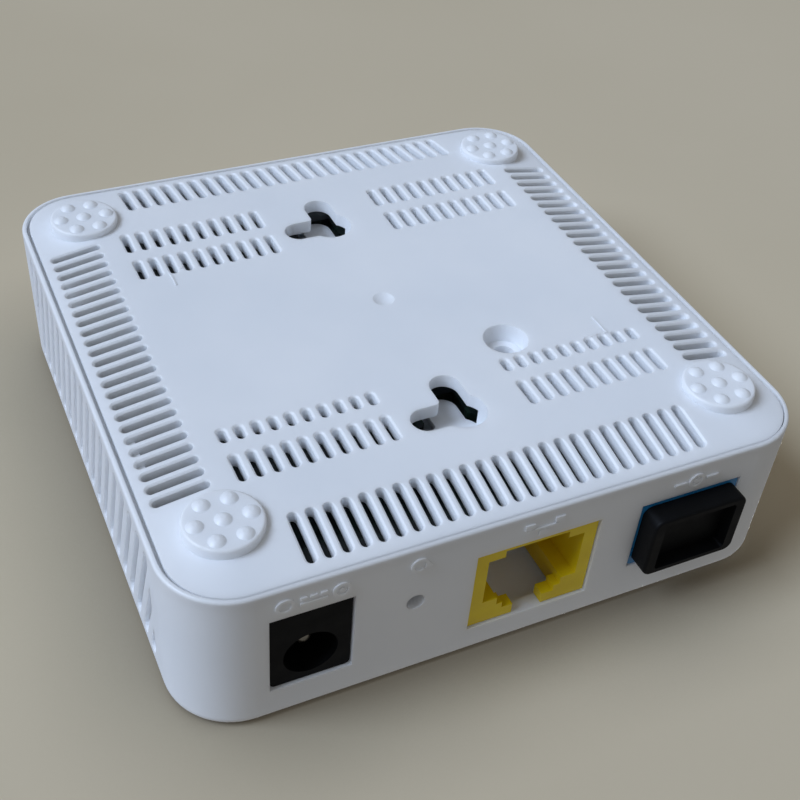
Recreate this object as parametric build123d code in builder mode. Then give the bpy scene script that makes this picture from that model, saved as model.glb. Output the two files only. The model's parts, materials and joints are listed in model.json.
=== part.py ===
from build123d import *
import math
import os

# Optical network terminal: a flat white box that takes a fibre in and gives an Ethernet socket out.
# Units are millimetres. +Z is up, the rear panel with the sockets faces +Y, the lights face -Y.
# The origin is under the middle of the case, on the plane the feet stand on.

os.makedirs("parts", exist_ok=True)

# ---------------------------------------------------------------- case
WIDTH = 78.0
DEPTH = 78.0
HEIGHT = 23.4
CORNER_R = 8.0
WALL = 2.0
LID_THICK = 2.0
LID_EDGE_R = 1.3
RIM_EDGE_R = 0.35
LID_INNER_Z = HEIGHT - LID_THICK

# ---------------------------------------------------------------- underside
DOME_H = 0.4            # grip domes on each foot
FOOT_H = 0.83           # foot disc above the flat of the base plate
PLATE_Z = DOME_H + FOOT_H
PLATE_THICK = 1.8
BORDER_WIDTH = 6.9      # the outer border of the plate slopes up to the rim
BORDER_RISE = 1.15
RIM_Z = PLATE_Z + BORDER_RISE
EDGE_THICK = 1.2        # the plate is thinner where it tucks under the walls
LEDGE_Z = RIM_Z + EDGE_THICK

LIP_THICK = 0.55        # thin lip of the case wall outside the plate
GROOVE = 0.45           # open groove between lip and plate, floored by the plate's flange
PLATE_HALF = WIDTH / 2 - LIP_THICK - GROOVE
FIT_GAP = 0.05
FLANGE_STEP = 0.7       # how far the flange sits behind the plate's outer surface
FLANGE_INSET = 0.3      # the flange starts this far out from the thinned edge
REAR_REACH = DEPTH / 2 - LIP_THICK - 0.005   # no groove at the rear, only a hairline

FOOT_R = 4.4
FOOT_EDGE_R = 0.32
FOOT_X = 31.0
FOOT_Y = 29.6
DOME_BASE_R = 0.95
DOME_RING_R = 3.03
DOME_FLAT = 0.03        # height shaved off each dome so that it has a small flat tip
DOME_SPHERE_R = (DOME_BASE_R ** 2 + DOME_H ** 2) / (2 * DOME_H)

# ---------------------------------------------------------------- slots of the underside
SLOT_W = 1.1
BAND_INNER = 30.4       # border slots run from here ...
BAND_OUTER = 36.9       # ... to here, measured from the middle of the case
BAND_X_COUNT = 25
BAND_Y_COUNT = 24
SLOT_PITCH = 2.0
BAND_Y_PITCH = 2.03
VENT_W = 1.0
VENT_COUNT = 10
VENT_MID_X = 17.9
SLOT_EASE = 0.22        # 45 degree easing of every slot mouth
VENT_ROWS = ((-22.8, 4.1), (-16.5, 4.1), (16.9, 2.1), (22.2, 4.1))   # row centre in Y, slot length

# ---------------------------------------------------------------- keyholes, screw recess, small marks
KEY_X = 0.1
KEY_FRONT_Y = -18.2
KEY_REAR_Y = 22.45
KEY_LOBE_R = 2.95
KEY_SLOT_R = 1.9
KEY_REACH = 6.5         # lobe centre to the far end of either slot
KEY_DEPTH = 3.95        # outer surface to pocket floor
KEY_FLOOR_THICK = 0.9
KEY_WALL = 1.0
KEY_WALL_MID = 52.0     # the pocket wall is centred on this angle round the lobe ...
KEY_WALL_HALF = 72.0    # ... and reaches this far to each side of it

SCREW_X = 11.2
SCREW_Y = 12.4
RECESS_TOP_R = 2.85
RECESS_LOW_R = 2.35
RECESS_DEPTH = 2.2
SCREW_HOLE_R = 1.3
RECESS_BOSS_R = 3.6
RECESS_FLOOR_THICK = 1.3
RECESS_END_Z = PLATE_Z + RECESS_DEPTH + RECESS_FLOOR_THICK

GATE_R = 1.4
GATE_DEPTH = 0.4
GATE_SPHERE_R = (GATE_R ** 2 + GATE_DEPTH ** 2) / (2 * GATE_DEPTH)
MARK_CORNERS = ((-23.6, -15.1, 1), (23.9, 15.7, -1))
MARK_ARM = 3.3
MARK_W = 0.25
MARK_H = 0.12

# ---------------------------------------------------------------- circuit board
BOARD_THICK = 1.6
BOARD_TOP_Z = 7.0
BOARD_LOW_Z = BOARD_TOP_Z - BOARD_THICK
BOARD_X = 70.0
BOARD_FRONT_Y = -35.5
BOARD_REAR_Y = 35.5
POST_X = 32.2
POST_Y = 30.5
POST_R = 2.0
PILOT_R = 0.8
CASE_POST_R = 3.0
CASE_PILOT_R = 0.95
BOARD_ROOM = 0.6        # the board clears the keyhole walls and the case post by this much
KEYHOLE_ROOM = 1.0      # ... and the arms of the keyholes by this much

# ---------------------------------------------------------------- snap clips between plate and walls
CLIP_Y = 15.0
CLIP_WIDE = 6.0
CLIP_THICK = 1.0
CLIP_OUT = 36.75        # outer face of the clip arm
CLIP_TOP_Z = 9.4
CLIP_ROOT = 0.6         # the arm starts this far inside the plate
HOOK_OUT = 0.55
HOOK_LAP = 0.1          # the hook starts this far inside the arm
HOOK_SLOPE = 1.0
HOOK_TALL = 1.4
HOOK_POCKET = 0.5       # depth of the pocket in the wall
HOOK_ROOM = 0.6         # the pocket is this much wider than the hook
POCKET_TALL = 2.4

# ---------------------------------------------------------------- rear sockets
REAR_Y = DEPTH / 2
SOCKET_FACE_Y = REAR_Y - 0.35
CUT_GAP = 0.15
DC_X = -24.75
DC_W = 9.2
DC_H = 11.4
DC_DEEP = 14.0
DC_HOLE_R = 3.12
DC_HOLE_Z = 14.35
DC_HOLE_DEEP = 9.5
DC_PIN_R = 1.0
DC_ROOT_R = 0.8
DC_PIN_TIP = 1.8        # pin tip behind the jack's face
RESET_X = -12.85
RESET_Z = 11.05
RESET_HOLE_R = 1.1
LAN_X = 2.15
LAN_W = 15.45
LAN_H = 12.1
LAN_DEEP = 16.5
PON_X = 22.3
PON_W = 13.4
PON_H = 10.05
PON_FACE_Y = REAR_Y - 0.15
PON_DEEP = 21.0
PON_MID_Z = BOARD_TOP_Z + PON_H / 2

RIB_X = -18.0           # stiffening rib inside the rear wall
RIB_THICK = 1.2
RIB_DEEP = 1.4

SIGN_Z = 4.95           # middle of the raised signs
SIGN_RAISE = 0.2
SIGN_LINE = 0.36
SIGN_R = 1.05
SIGN_END = 3.1          # middle of the sign to its end rings
BOX_W = 1.2             # boxes of the network sign
BOX_H = 0.8
BOX_SPREAD = 1.9
BOX_UP = 0.65

# ---------------------------------------------------------------- side louvres
LOUVRE_W = 1.5
LOUVRE_PITCH = 3.08
LOUVRE_COUNT = 21
LOUVRE_LOW_Z = 4.0
LOUVRE_TOP_Z = 21.1
LOUVRE_HALF_Y = 28.6
LOUVRE_DEEP = 0.65
LOUVRE_SLANT = 24.0     # degrees from vertical, leaning forward toward the lid

# ---------------------------------------------------------------- indicator lights
LED_XS = (-9.0, -3.0, 3.0, 9.0)
LED_Y = -32.0
GUIDE_R = 1.1
GUIDE_LOW_Z = 8.6


def save(part, name):
    """Give a finished piece its name and write it out."""
    part.label = name
    export_step(part, "parts/" + name + ".step")


def facing_rear(y):
    """Sketch plane at depth y that looks toward +Y: sketch x is -X, sketch y is Z."""
    return Plane(origin=(0, y, 0), x_dir=(-1, 0, 0), z_dir=(0, 1, 0))


def block(x_range, y_range, z_range, mode=Mode.ADD):
    """Box between three pairs of limits, added to or cut from the part being built."""
    size = [high - low for low, high in (x_range, y_range, z_range)]
    middle = [(high + low) / 2 for low, high in (x_range, y_range, z_range)]
    with Locations(tuple(middle)):
        Box(*size, mode=mode)


def about(middle, width):
    """Limits of a span of the given width about its middle."""
    return (middle - width / 2, middle + width / 2)


def flared_slot(length, width, depth, ease):
    """Slot cutter along X. Its mouth is at z = 0, eased at 45 degrees, and its body rises to depth."""
    with BuildPart(mode=Mode.PRIVATE) as tool:
        with BuildSketch(Plane.XY.offset(-ease)):
            SlotOverall(length, width)
        extrude(amount=depth + ease)
        with BuildSketch(Plane.XY.offset(-ease)):
            SlotOverall(length + 4 * ease, width + 4 * ease)
        extrude(amount=2 * ease, taper=45)
    return tool.part


def plate_outline(half, rear):
    """Rounded square that reaches `half` to the front and sides and `rear` to the rear."""
    with Locations((0, (rear - half) / 2)):
        RectangleRounded(2 * half, half + rear, half - WIDTH / 2 + CORNER_R)


def tray(base_z):
    """Flat-bottomed dish whose outer border slopes up toward the rim."""
    with BuildPart(mode=Mode.PRIVATE) as dish:
        with BuildSketch(Plane.XY.offset(base_z)):
            plate_outline(PLATE_HALF, REAR_REACH)
        extrude(amount=2 * PLATE_THICK + BORDER_RISE)
        bottom = dish.faces().sort_by(Axis.Z)[0]
        chamfer(bottom.edges(), length=BORDER_WIDTH, length2=BORDER_RISE, reference=bottom)
    return dish.part


def keyhole_outline(grow=0.0):
    """Keyhole: a round lobe for the screw head, one slot toward the front and one toward -X."""
    reach = KEY_REACH + grow
    half = KEY_SLOT_R + grow
    Circle(KEY_LOBE_R + grow)
    with Locations((0, -(reach - half) / 2)):
        Rectangle(2 * half, reach - half)
    with Locations((-(reach - half) / 2, 0)):
        Rectangle(reach - half, 2 * half)
    with Locations((0, -(reach - half)), (-(reach - half), 0)):
        Circle(half)


def sign_ring():
    """Ring used in the raised signs."""
    Circle(SIGN_R)
    Circle(SIGN_R - SIGN_LINE, mode=Mode.SUBTRACT)


# ================================================================ housing shell
# Lid and four walls moulded in one piece of white ABS.
with BuildPart() as housing_shell:
    with BuildSketch(Plane.XY.offset(RIM_Z)):
        RectangleRounded(WIDTH, DEPTH, CORNER_R)
    extrude(amount=HEIGHT - RIM_Z)
    fillet(housing_shell.faces().sort_by(Axis.Z)[-1].edges(), LID_EDGE_R)
    fillet(housing_shell.faces().sort_by(Axis.Z)[0].edges(), RIM_EDGE_R)
    # inside of the case
    with BuildSketch(Plane.XY.offset(RIM_Z)):
        RectangleRounded(WIDTH - 2 * WALL, DEPTH - 2 * WALL, CORNER_R - WALL)
    extrude(amount=LID_INNER_Z - RIM_Z, mode=Mode.SUBTRACT)
    # rebate that the base plate drops into
    with BuildSketch(Plane.XY.offset(RIM_Z)):
        plate_outline(WIDTH / 2 - LIP_THICK, DEPTH / 2 - LIP_THICK)
    extrude(amount=LEDGE_Z - RIM_Z, mode=Mode.SUBTRACT)
    # board posts and the post that takes the case screw
    with BuildSketch(Plane.XY.offset(BOARD_TOP_Z)):
        with GridLocations(2 * POST_X, 2 * POST_Y, 2, 2):
            Circle(POST_R)
            Circle(PILOT_R, mode=Mode.SUBTRACT)
    extrude(amount=LID_INNER_Z - BOARD_TOP_Z)
    with BuildSketch(Plane.XY.offset(RECESS_END_Z + FIT_GAP)):
        with Locations((SCREW_X, SCREW_Y)):
            Circle(CASE_POST_R)
            Circle(CASE_PILOT_R, mode=Mode.SUBTRACT)
    extrude(amount=LID_INNER_Z - RECESS_END_Z - FIT_GAP)
    # stiffening rib on the rear wall, seen through one border slot
    block(about(RIB_X, RIB_THICK), (REAR_Y - WALL - RIB_DEEP, REAR_Y - WALL), (LEDGE_Z + 0.3, LID_INNER_Z))
    # windows for the sockets
    for socket_x, socket_w, socket_h in ((DC_X, DC_W, DC_H), (LAN_X, LAN_W, LAN_H), (PON_X, PON_W, PON_H)):
        block(about(socket_x, socket_w + 2 * CUT_GAP), (REAR_Y - 2 * WALL, REAR_Y + 1),
              (BOARD_TOP_Z - CUT_GAP, BOARD_TOP_Z + socket_h + CUT_GAP), Mode.SUBTRACT)
    with BuildSketch(facing_rear(REAR_Y)):
        with Locations((-RESET_X, RESET_Z)):
            Circle(RESET_HOLE_R)
    extrude(amount=-2 * WALL, mode=Mode.SUBTRACT)
    # holes for the light guides
    with BuildSketch(Plane.XY.offset(LID_INNER_Z)):
        with Locations(*[(x, LED_Y) for x in LED_XS]):
            Circle(GUIDE_R + FIT_GAP)
    extrude(amount=LID_THICK, mode=Mode.SUBTRACT)
    # blind louvre grooves on both side walls
    louvre_long = (LOUVRE_TOP_Z - LOUVRE_LOW_Z) / math.cos(math.radians(LOUVRE_SLANT))
    for side in (1, -1):
        wall_plane = Plane(origin=(side * WIDTH / 2, 0, 0), x_dir=(0, side, 0), z_dir=(side, 0, 0))
        with BuildSketch(wall_plane):
            with Locations((0, (LOUVRE_TOP_Z + LOUVRE_LOW_Z) / 2)):
                with GridLocations(LOUVRE_PITCH, 1, LOUVRE_COUNT, 1):
                    SlotOverall(louvre_long, LOUVRE_W, rotation=90 + side * LOUVRE_SLANT)
                Rectangle(2 * LOUVRE_HALF_Y, 2 * HEIGHT, mode=Mode.INTERSECT)
        extrude(amount=-LOUVRE_DEEP, mode=Mode.SUBTRACT)
    # pockets that the clip hooks snap into
    for side in (1, -1):
        wall_x = side * (WIDTH / 2 - WALL + HOOK_POCKET / 2)
        with Locations((wall_x, CLIP_Y, CLIP_TOP_Z - 1), (wall_x, -CLIP_Y, CLIP_TOP_Z - 1)):
            Box(HOOK_POCKET, CLIP_WIDE + HOOK_ROOM, POCKET_TALL, mode=Mode.SUBTRACT)
    # raised signs beside the sockets
    with BuildSketch(facing_rear(REAR_Y)):
        with Locations((-DC_X, SIGN_Z)):
            # direct current: a long bar over three dashes, between two end rings
            with Locations((0, SIGN_R / 2 - SIGN_LINE / 4)):
                Rectangle(3.0, SIGN_LINE)
            with Locations((0, -SIGN_R / 2 + SIGN_LINE / 4)):
                with GridLocations(1.1, 1, 3, 1):
                    Rectangle(0.75, SIGN_LINE)
            with Locations((SIGN_END, 0), (-SIGN_END, 0)):
                sign_ring()
            with Locations((-SIGN_END, 0)):
                Circle(0.3)
        with Locations((-RESET_X, SIGN_Z)):
            # reset: a ring broken by an arrow head
            sign_ring()
            with Locations((-0.7 * SIGN_R, 0.7 * SIGN_R)):
                Rectangle(0.7, 0.7, mode=Mode.SUBTRACT)
            with Locations((-SIGN_R, 0.3)):
                Triangle(a=0.9, b=0.9, c=0.9, rotation=180)
        with Locations((-LAN_X, SIGN_Z)):
            # network: three boxes joined by a line
            with Locations((0, BOX_UP), (-BOX_SPREAD, -BOX_UP), (BOX_SPREAD, -BOX_UP)):
                Rectangle(BOX_W, BOX_H)
            Rectangle(2 * BOX_SPREAD + SIGN_LINE, SIGN_LINE)
            with Locations((-BOX_SPREAD, -BOX_UP / 2), (BOX_SPREAD, -BOX_UP / 2), (0, BOX_UP / 2)):
                Rectangle(SIGN_LINE, BOX_UP)
        with Locations((-PON_X, SIGN_Z)):
            # fibre: a ring with a filled core and a ray on each side
            sign_ring()
            Circle(0.4)
            with Locations((2.2, 0), (-2.2, 0)):
                Rectangle(1.6, SIGN_LINE)
    extrude(amount=SIGN_RAISE)
save(housing_shell.part, "housing_shell")


# ================================================================ base plate
# The white plate with the feet, vents and wall-hanging keyholes, closed by one screw and four clips.
def band_surface(distance, edge):
    """Outer surface height of the sloping border, given the plate's edge on that side."""
    return PLATE_Z + max(0.0, distance - (edge - BORDER_WIDTH)) * BORDER_RISE / BORDER_WIDTH


band_length = BAND_OUTER - BAND_INNER
band_mid = (BAND_OUTER + BAND_INNER) / 2
band_tilt = math.degrees(math.atan(BORDER_RISE / BORDER_WIDTH))
band_cutter = flared_slot(band_length, SLOT_W, 2 * PLATE_THICK, SLOT_EASE)
side_z = band_surface(band_mid, PLATE_HALF)
rear_z = band_surface(band_mid, REAR_REACH)
vent_xs = [side * (VENT_MID_X + (i - (VENT_COUNT - 1) / 2) * SLOT_PITCH)
           for side in (1, -1) for i in range(VENT_COUNT)]
key_spots = ((KEY_X, KEY_FRONT_Y), (KEY_X, KEY_REAR_Y))
key_outer_r = KEY_LOBE_R + KEY_WALL
key_turn = math.radians(KEY_WALL_MID)
key_trim = key_outer_r - KEY_LOBE_R * math.cos(math.radians(KEY_WALL_HALF))
foot_spots = [(sx * FOOT_X, sy * FOOT_Y) for sx in (1, -1) for sy in (1, -1)]

with BuildPart() as base_plate:
    add(tray(PLATE_Z))
    add(tray(PLATE_Z + PLATE_THICK), mode=Mode.SUBTRACT)
    # thinner edge where the plate tucks under the walls
    with BuildSketch(Plane.XY.offset(LEDGE_Z - FIT_GAP)):
        Rectangle(2 * WIDTH, 2 * DEPTH)
        inside = WIDTH / 2 - WALL - FIT_GAP
        RectangleRounded(2 * inside, 2 * inside, CORNER_R - WALL - FIT_GAP, mode=Mode.SUBTRACT)
    extrude(amount=2 * PLATE_THICK, mode=Mode.SUBTRACT)
    # flange that floors the groove round the plate
    with BuildSketch(Plane.XY.offset(RIM_Z + FLANGE_STEP)):
        plate_outline(WIDTH / 2 - LIP_THICK - FIT_GAP, REAR_REACH)
        flange_inner = 2 * (inside + FLANGE_INSET)
        RectangleRounded(flange_inner, flange_inner, CORNER_R - WALL, mode=Mode.SUBTRACT)
    extrude(amount=EDGE_THICK - FLANGE_STEP - FIT_GAP)
    # foot discs, each standing on seven small domes
    with BuildSketch(Plane.XY.offset(DOME_H)):
        with Locations(*foot_spots):
            Circle(FOOT_R)
    extrude(amount=FOOT_H + 1.5)
    foot_faces = base_plate.faces().filter_by(Axis.Z).sort_by(Axis.Z)[:4]
    fillet(foot_faces.edges(), FOOT_EDGE_R)
    for spot in foot_spots:
        with Locations((spot[0], spot[1], DOME_SPHERE_R - DOME_FLAT)):
            with PolarLocations(DOME_RING_R, 6):
                Sphere(DOME_SPHERE_R)
            Sphere(DOME_SPHERE_R)
    block((-WIDTH, WIDTH), (-DEPTH, DEPTH), (-5, 0), Mode.SUBTRACT)
    # shallow round dimple left by the moulding gate
    with Locations((0.2, -0.2, PLATE_Z + GATE_DEPTH - GATE_SPHERE_R)):
        Sphere(GATE_SPHERE_R, mode=Mode.SUBTRACT)
    # raised corner marks of the label area
    for mark_x, mark_y, turn in MARK_CORNERS:
        with BuildSketch(Plane.XY.offset(PLATE_Z - MARK_H)):
            with Locations((mark_x + turn * MARK_ARM / 2, mark_y)):
                Rectangle(MARK_ARM + MARK_W, MARK_W)
            with Locations((mark_x, mark_y + turn * MARK_ARM / 2)):
                Rectangle(MARK_W, MARK_ARM + MARK_W)
        extrude(amount=MARK_H + 0.2)
    # border slots: rear and front rows, then the two side rows
    for y_side, z_mid in ((1, rear_z), (-1, side_z)):
        row = [Location(((i - (BAND_X_COUNT - 1) / 2) * SLOT_PITCH, y_side * band_mid, z_mid),
                        (0, 0, 90 * y_side)) * Location((0, 0, 0), (0, -band_tilt, 0))
               for i in range(BAND_X_COUNT)]
        with Locations(*row):
            add(band_cutter, mode=Mode.SUBTRACT)
    for x_side in (1, -1):
        row = [Location((x_side * band_mid, (i - (BAND_Y_COUNT - 1) / 2) * BAND_Y_PITCH, side_z),
                        (0, 0, 90 - 90 * x_side)) * Location((0, 0, 0), (0, -band_tilt, 0))
               for i in range(BAND_Y_COUNT)]
        with Locations(*row):
            add(band_cutter, mode=Mode.SUBTRACT)
    # vents of the flat middle
    for row_y, length in VENT_ROWS:
        vent_cutter = flared_slot(length, VENT_W, 2 * PLATE_THICK, SLOT_EASE)
        with Locations(*[Location((x, row_y, PLATE_Z), (0, 0, 90)) for x in vent_xs]):
            add(vent_cutter, mode=Mode.SUBTRACT)
    # keyholes: opening, pocket floor and the wall round the lobe that carries it
    for key_x, key_y in key_spots:
        with BuildSketch(Plane.XY.offset(PLATE_Z - 1)):
            with Locations((key_x, key_y)):
                keyhole_outline()
        extrude(amount=1 + PLATE_THICK + 1, mode=Mode.SUBTRACT)
        with BuildSketch(Plane.XY.offset(PLATE_Z + KEY_DEPTH)):
            with Locations((key_x, key_y)):
                keyhole_outline(0.1)
        extrude(amount=KEY_FLOOR_THICK)
        with BuildSketch(Plane.XY.offset(PLATE_Z + PLATE_THICK / 2)):
            with Locations((key_x, key_y)):
                Circle(key_outer_r)
                Circle(KEY_LOBE_R, mode=Mode.SUBTRACT)
                # keep only the sector of the ring on the far side of a chord
                with Locations((-key_trim * math.cos(key_turn), -key_trim * math.sin(key_turn))):
                    Rectangle(2 * key_outer_r, 4 * key_outer_r, rotation=KEY_WALL_MID, mode=Mode.SUBTRACT)
        extrude(amount=KEY_DEPTH - PLATE_THICK / 2 + KEY_FLOOR_THICK)
    # boss and tapered recess for the case screw
    with BuildSketch(Plane.XY.offset(PLATE_Z + PLATE_THICK / 2)):
        with Locations((SCREW_X, SCREW_Y)):
            Circle(RECESS_BOSS_R)
    extrude(amount=RECESS_END_Z - PLATE_Z - PLATE_THICK / 2)
    with Locations((SCREW_X, SCREW_Y, PLATE_Z + RECESS_DEPTH / 2)):
        Cone(RECESS_TOP_R, RECESS_LOW_R, RECESS_DEPTH, mode=Mode.SUBTRACT)
        Cylinder(SCREW_HOLE_R, 4 * RECESS_DEPTH, mode=Mode.SUBTRACT)
    # snap clips: an upright arm with an outward hook
    for side in (1, -1):
        for clip_y in (CLIP_Y, -CLIP_Y):
            block(about(side * (CLIP_OUT - CLIP_THICK / 2), CLIP_THICK), about(clip_y, CLIP_WIDE),
                  (LEDGE_Z - CLIP_ROOT, CLIP_TOP_Z))
            hook_start = (side * (CLIP_OUT - HOOK_LAP), clip_y - CLIP_WIDE / 2, CLIP_TOP_Z)
            with BuildSketch(Plane(origin=hook_start, x_dir=(side, 0, 0), z_dir=(0, -side, 0))):
                with BuildLine():
                    Polyline((0, 0), (HOOK_OUT, -HOOK_SLOPE), (HOOK_OUT, -HOOK_TALL), (0, -HOOK_TALL),
                             close=True)
                make_face()
            extrude(amount=-side * CLIP_WIDE)
save(base_plate.part, "base_plate")


# ================================================================ circuit board
# Glass-epoxy board, held to the lid posts by four small screws from below.
arm_w = 2 * (KEY_SLOT_R + KEYHOLE_ROOM)
arm_long = KEY_REACH + 2 * KEYHOLE_ROOM
with BuildPart() as circuit_board:
    with BuildSketch(Plane.XY.offset(BOARD_LOW_Z)):
        with Locations((0, (BOARD_FRONT_Y + BOARD_REAR_Y) / 2)):
            RectangleRounded(BOARD_X, BOARD_REAR_Y - BOARD_FRONT_Y, 4.5)
        for spot in key_spots:
            with Locations(spot):
                Circle(KEY_LOBE_R + KEY_WALL + BOARD_ROOM, mode=Mode.SUBTRACT)
                with Locations((0, -KEY_REACH / 2)):
                    Rectangle(arm_w, arm_long, mode=Mode.SUBTRACT)
                with Locations((-KEY_REACH / 2, 0)):
                    Rectangle(arm_long, arm_w, mode=Mode.SUBTRACT)
        with Locations((SCREW_X, SCREW_Y)):
            Circle(CASE_POST_R + BOARD_ROOM, mode=Mode.SUBTRACT)
        with GridLocations(2 * POST_X, 2 * POST_Y, 2, 2):
            Circle(PILOT_R + 0.2, mode=Mode.SUBTRACT)
    extrude(amount=BOARD_THICK)
save(circuit_board.part, "circuit_board")

# Pan-head screws, heads under the board, shanks up in the lid posts.
SCREW_HEAD_R = 1.65
SCREW_HEAD_H = 1.1
with BuildPart() as board_screws:
    with BuildSketch(Plane.XY.offset(BOARD_LOW_Z - SCREW_HEAD_H)):
        with GridLocations(2 * POST_X, 2 * POST_Y, 2, 2):
            Circle(SCREW_HEAD_R)
    extrude(amount=SCREW_HEAD_H)
    fillet(board_screws.faces().filter_by(Axis.Z).sort_by(Axis.Z)[:4].edges(), 0.4)
    with BuildSketch(Plane.XY.offset(BOARD_LOW_Z)):
        with GridLocations(2 * POST_X, 2 * POST_Y, 2, 2):
            Circle(PILOT_R - 0.02)
    extrude(amount=BOARD_THICK + 5)
save(board_screws.part, "board_screws")


# ================================================================ network socket
# Yellow nylon eight-way modular jack. Its latch side faces the lid.
MOUTH_W = 12.2
MOUTH_LOW_Z = 8.7
MOUTH_TOP_Z = 15.6
MOUTH_DEEP = 13.5
NOTCH_W = 8.1
NOTCH_H = 1.0
STEP1_W = 8.4
STEP1_H = 1.1
STEP2_W = 6.8
STEP2_H = 0.9
LATCH_W = 3.9
FACE_THICK = 1.6
OPEN_DEEP = 11.0        # how far in the lid side stays open for the latch
OPEN_ROOM = 0.3         # the open part is this much wider than the first step, on each side
CONTACT_COUNT = 8
CONTACT_PITCH = 1.02
COMB_W = 0.5
COMB_LONG = 9.0
COMB_DEEP = 0.5
COMB_MID = 6.2          # middle of the comb slots behind the face
LAN_TOP_Z = BOARD_TOP_Z + LAN_H
lan_back = SOCKET_FACE_Y - LAN_DEEP
with BuildPart() as rj45_housing:
    block(about(LAN_X, LAN_W), (lan_back, SOCKET_FACE_Y), (BOARD_TOP_Z, LAN_TOP_Z))
    mouth_y = (SOCKET_FACE_Y - MOUTH_DEEP, SOCKET_FACE_Y + 1)
    step1_z = MOUTH_TOP_Z + STEP1_H
    step2_z = step1_z + STEP2_H
    block(about(LAN_X, MOUTH_W), mouth_y, (MOUTH_LOW_Z, MOUTH_TOP_Z), Mode.SUBTRACT)
    block(about(LAN_X, NOTCH_W), mouth_y, (MOUTH_LOW_Z - NOTCH_H, MOUTH_LOW_Z), Mode.SUBTRACT)
    block(about(LAN_X, STEP1_W), mouth_y, (MOUTH_TOP_Z, step1_z), Mode.SUBTRACT)
    block(about(LAN_X, STEP2_W), mouth_y, (step1_z, step2_z), Mode.SUBTRACT)
    block(about(LAN_X, LATCH_W), (SOCKET_FACE_Y - OPEN_DEEP, SOCKET_FACE_Y + 1),
          (step2_z, LAN_TOP_Z + 1), Mode.SUBTRACT)
    # behind the face the lid side is open, for the plug's latch to spring into
    block(about(LAN_X, STEP1_W + 2 * OPEN_ROOM), (SOCKET_FACE_Y - OPEN_DEEP, SOCKET_FACE_Y - FACE_THICK),
          (step1_z, LAN_TOP_Z + 1), Mode.SUBTRACT)
    # comb slots for the contact wires in the floor of the mouth
    with Locations((LAN_X, SOCKET_FACE_Y - COMB_MID, MOUTH_LOW_Z - NOTCH_H)):
        with GridLocations(CONTACT_PITCH, 1, CONTACT_COUNT, 1):
            Box(COMB_W, COMB_LONG, 2 * COMB_DEEP, mode=Mode.SUBTRACT)
save(rj45_housing.part, "rj45_housing")

# Eight gold-plated spring wires, folded back up into the mouth.
WIRE = 0.3
WIRE_LOW_Z = 7.5
WIRE_TOP_Z = 11.6
WIRE_FRONT_Y = SOCKET_FACE_Y - 2.3
WIRE_BACK = 8.0         # lower leg of each wire
WIRE_SPRING = 7.2       # reach of the sloping spring leg
with BuildPart() as rj45_contacts:
    first_x = LAN_X - (CONTACT_COUNT - 1) / 2 * CONTACT_PITCH + WIRE / 2
    for i in range(CONTACT_COUNT):
        wire_face = (first_x + i * CONTACT_PITCH, 0, 0)
        with BuildSketch(Plane(origin=wire_face, x_dir=(0, 1, 0), z_dir=(1, 0, 0))):
            with BuildLine():
                Polyline((WIRE_FRONT_Y - WIRE_BACK, WIRE_LOW_Z), (WIRE_FRONT_Y, WIRE_LOW_Z),
                         (WIRE_FRONT_Y - WIRE_SPRING, WIRE_TOP_Z))
            trace(line_width=WIRE)
        extrude(amount=-WIRE)
save(rj45_contacts.part, "rj45_contacts")


# ================================================================ power socket
# Black barrel jack with a centre pin and a side spring.
DC_TOP_Z = BOARD_TOP_Z + DC_H
dc_back = SOCKET_FACE_Y - DC_DEEP
SPRING_W = 2.4
SPRING_THICK = 0.25
SPRING_TIP = 1.3        # spring tip behind the jack's face
SPRING_LONG = 7.8
CHANNEL_DEEP = 0.9
CHANNEL_SIDE = 0.15     # room beside the spring
ROOT_LONG = 2.0
SEAT_GAP = 0.02         # hairline between the pin and the moulding it is pressed into
with BuildPart() as dc_jack_body:
    block(about(DC_X, DC_W), (dc_back, SOCKET_FACE_Y), (BOARD_TOP_Z, DC_TOP_Z))
    fillet(dc_jack_body.edges().filter_by(Axis.Y).sort_by(Axis.Z)[-2:], 0.6)
    with BuildSketch(facing_rear(SOCKET_FACE_Y)):
        with Locations((-DC_X, DC_HOLE_Z)):
            Circle(DC_HOLE_R)
    extrude(amount=-DC_HOLE_DEEP, mode=Mode.SUBTRACT)
    # channel for the spring on the board side of the hole
    block(about(DC_X, SPRING_W + 2 * CHANNEL_SIDE),
          (SOCKET_FACE_Y - DC_HOLE_DEEP, SOCKET_FACE_Y - CHANNEL_DEEP),
          (DC_HOLE_Z - DC_HOLE_R - CHANNEL_DEEP, DC_HOLE_Z), Mode.SUBTRACT)
    # socket for the pin's root
    with BuildSketch(facing_rear(SOCKET_FACE_Y - DC_HOLE_DEEP)):
        with Locations((-DC_X, DC_HOLE_Z)):
            Circle(DC_ROOT_R + SEAT_GAP)
    extrude(amount=-ROOT_LONG, mode=Mode.SUBTRACT)
save(dc_jack_body.part, "dc_jack_body")

with BuildPart() as dc_jack_pin:
    with BuildSketch(facing_rear(SOCKET_FACE_Y - DC_HOLE_DEEP - ROOT_LONG)):
        with Locations((-DC_X, DC_HOLE_Z)):
            Circle(DC_ROOT_R)
    extrude(amount=ROOT_LONG + SEAT_GAP)
    with BuildSketch(facing_rear(SOCKET_FACE_Y - DC_HOLE_DEEP + SEAT_GAP)):
        with Locations((-DC_X, DC_HOLE_Z)):
            Circle(DC_PIN_R)
    extrude(amount=DC_HOLE_DEEP - SEAT_GAP - DC_PIN_TIP)
    fillet(dc_jack_pin.faces().sort_by(Axis.Y)[-1].edges(), 0.8 * DC_PIN_R)
save(dc_jack_pin.part, "dc_jack_pin")

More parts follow.
